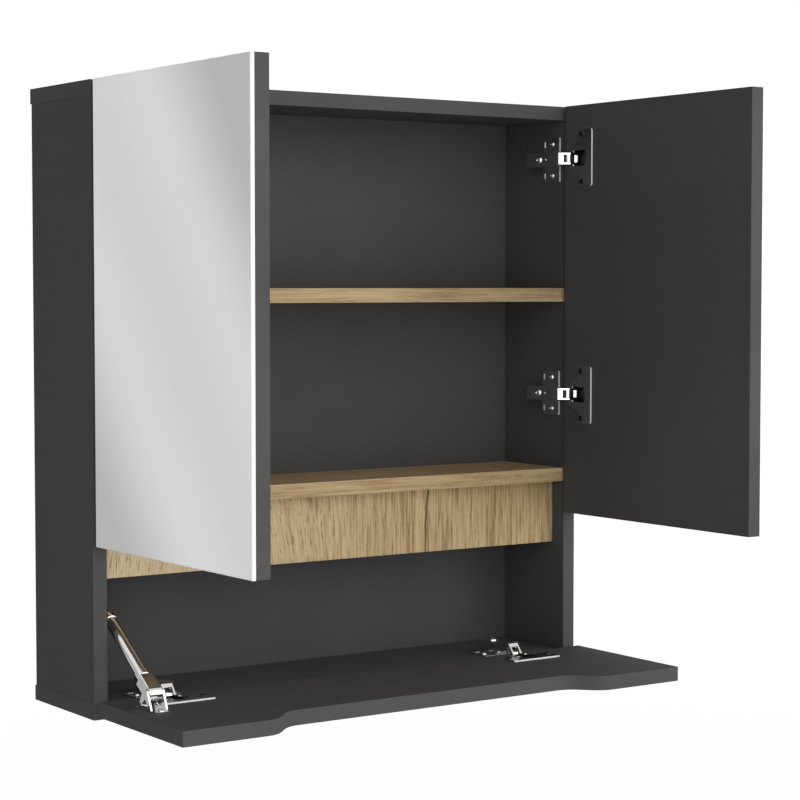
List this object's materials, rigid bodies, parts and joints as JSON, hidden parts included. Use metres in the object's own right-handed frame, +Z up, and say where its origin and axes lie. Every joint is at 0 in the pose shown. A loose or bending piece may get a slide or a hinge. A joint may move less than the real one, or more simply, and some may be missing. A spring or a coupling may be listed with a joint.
{
  "type": "mirrored medicine cabinet",
  "caption": "Wall cabinet for a bathroom or clinic with mirrored doors on cup hinges, oak shelves and a drop-down flap with a wavy edge and a chrome lid stay",
  "frame": {"origin": "midway between the entry holes of the two keyhole hangers on the back", "axes": "+X to the right seen from the front, +Y into the wall, +Z up; the wall plane is Y = 0"},
  "size_m": [0.6, 0.4373, 0.623],
  "materials": {
    "dark_board": "dark graphite grey melamine board, matt",
    "oak": "light oak veneer, satin lacquer, fine open grain",
    "mirror_glass": "silvered flat glass, 4 mm, bright ground edges",
    "hinge_chrome": "bright nickel plated steel",
    "stay_chrome": "polished chrome",
    "screw_steel": "bright zinc plated steel",
    "hanger_steel": "zinc plated steel sheet",
    "raw_beech": "untreated beech dowel"
  },
  "bodies": {
    "cabinet": {"left_side_panel": "dark_board", "right_side_panel": "dark_board", "top_panel": "dark_board", "bottom_panel": "dark_board", "back_panel": "dark_board", "upper_shelf": "oak", "lower_shelf": "oak", "apron_rail": "oak", "upper_hanging_rail": "dark_board", "lower_spacer_rail": "dark_board", "hanger_plates": "hanger_steel", "hanger_screws": "screw_steel", "carcass_dowels": "raw_beech", "cam_fittings": "screw_steel", "cam_bolts": "screw_steel", "shelf_dowels": "raw_beech", "left_door_hinge_plates": "hinge_chrome", "right_door_hinge_plates": "hinge_chrome", "flap_hinge_plates": "hinge_chrome", "left_door_hinge_arms": "hinge_chrome", "right_door_hinge_arms": "hinge_chrome", "flap_hinge_arms": "hinge_chrome", "hinge_plate_screws": "screw_steel", "hinge_arm_screws": "screw_steel", "hinge_arm_pins": "screw_steel", "stay_stud_plate": "stay_chrome", "stay_stud_screws": "screw_steel"},
    "left_door": {"left_door_board": "dark_board", "left_mirror": "mirror_glass", "left_door_hinge_cups": "hinge_chrome", "left_door_cup_pins": "screw_steel", "left_door_cup_screws": "screw_steel"},
    "right_door": {"right_door_board": "dark_board", "right_mirror": "mirror_glass", "right_door_hinge_cups": "hinge_chrome", "right_door_cup_pins": "screw_steel", "right_door_cup_screws": "screw_steel"},
    "flap": {"flap_board": "dark_board", "flap_hinge_cups": "hinge_chrome", "flap_cup_pins": "screw_steel", "flap_cup_screws": "screw_steel", "stay_foot": "stay_chrome", "stay_foot_pin": "stay_chrome", "stay_foot_screws": "screw_steel"},
    "left_door_outer_link_pair": {"left_door_outer_links": "hinge_chrome"},
    "left_door_inner_link_pair": {"left_door_inner_links": "hinge_chrome"},
    "right_door_outer_link_pair": {"right_door_outer_links": "hinge_chrome"},
    "right_door_inner_link_pair": {"right_door_inner_links": "hinge_chrome"},
    "flap_outer_link_pair": {"flap_outer_links": "hinge_chrome"},
    "flap_inner_link_pair": {"flap_inner_links": "hinge_chrome"},
    "stay_tube_body": {"stay_block": "stay_chrome", "stay_tube": "stay_chrome", "stay_collars": "stay_chrome"},
    "stay_rod_body": {"stay_rod": "stay_chrome", "stay_rod_eye": "stay_chrome"}
  },
  "joints": [
    {"name": "left_door_outer_link_turn", "type": "hinge", "parent": "cabinet", "child": "left_door_outer_link_pair", "pos_m": [-0.2705, -0.1365, -0.1385], "axis": [0, 0, -1], "range_deg": [-1.31, 23.41]},
    {"name": "left_door_swing", "type": "hinge", "parent": "left_door_outer_link_pair", "child": "left_door", "pos_m": [-0.28569, -0.14926, -0.1385], "axis": [0, 0, -1], "range_deg": [-113.4, 6.3]},
    {"name": "left_door_inner_link_turn", "type": "hinge", "parent": "cabinet", "child": "left_door_inner_link_pair", "pos_m": [-0.2745, -0.13946, -0.1385], "axis": [0, 0, -1], "range_deg": [-0.39, 6.76]},
    {"name": "right_door_outer_link_turn", "type": "hinge", "parent": "cabinet", "child": "right_door_outer_link_pair", "pos_m": [0.2705, -0.1365, -0.1385], "axis": [0, 0, 1], "range_deg": [-1.31, 23.41]},
    {"name": "right_door_swing", "type": "hinge", "parent": "right_door_outer_link_pair", "child": "right_door", "pos_m": [0.28569, -0.14926, -0.1385], "axis": [0, 0, 1], "range_deg": [-113.4, 6.3]},
    {"name": "right_door_inner_link_turn", "type": "hinge", "parent": "cabinet", "child": "right_door_inner_link_pair", "pos_m": [0.2745, -0.13946, -0.1385], "axis": [0, 0, 1], "range_deg": [-0.39, 6.76]},
    {"name": "flap_outer_link_turn", "type": "hinge", "parent": "cabinet", "child": "flap_outer_link_pair", "pos_m": [0, -0.1405, -0.5435], "axis": [1, 0, 0], "range_deg": [0, 23.41]},
    {"name": "flap_swing", "type": "hinge", "parent": "flap_outer_link_pair", "child": "flap", "pos_m": [0, -0.15326, -0.55869], "axis": [1, 0, 0], "range_deg": [-113.4, 0]},
    {"name": "flap_inner_link_turn", "type": "hinge", "parent": "cabinet", "child": "flap_inner_link_pair", "pos_m": [0, -0.14346, -0.5475], "axis": [1, 0, 0], "range_deg": [0, 6.76]},
    {"name": "stay_pivot", "type": "hinge", "parent": "flap", "child": "stay_tube_body", "pos_m": [-0.274, -0.20777, -0.5375], "axis": [1, 0, 0], "range_deg": [0, 100]},
    {"name": "stay_slide", "type": "slide", "parent": "stay_tube_body", "child": "stay_rod_body", "axis": [0, 0.8336, 0.5524], "range_m": [-0.08367, 0]}
  ],
  "couplings": [
    {"joint": "left_door_outer_link_turn", "follows": "left_door_swing", "ratio": -0.20635},
    {"joint": "left_door_inner_link_turn", "follows": "left_door_swing", "ratio": -0.059524},
    {"joint": "right_door_outer_link_turn", "follows": "right_door_swing", "ratio": -0.20635},
    {"joint": "right_door_inner_link_turn", "follows": "right_door_swing", "ratio": -0.059524},
    {"joint": "flap_outer_link_turn", "follows": "flap_swing", "ratio": -0.20635},
    {"joint": "flap_inner_link_turn", "follows": "flap_swing", "ratio": -0.059524},
    {"joint": "stay_pivot", "follows": "flap_swing", "ratio": -0.88033},
    {"joint": "stay_slide", "follows": "flap_swing", "m_per_rad": 0.042175}
  ]
}
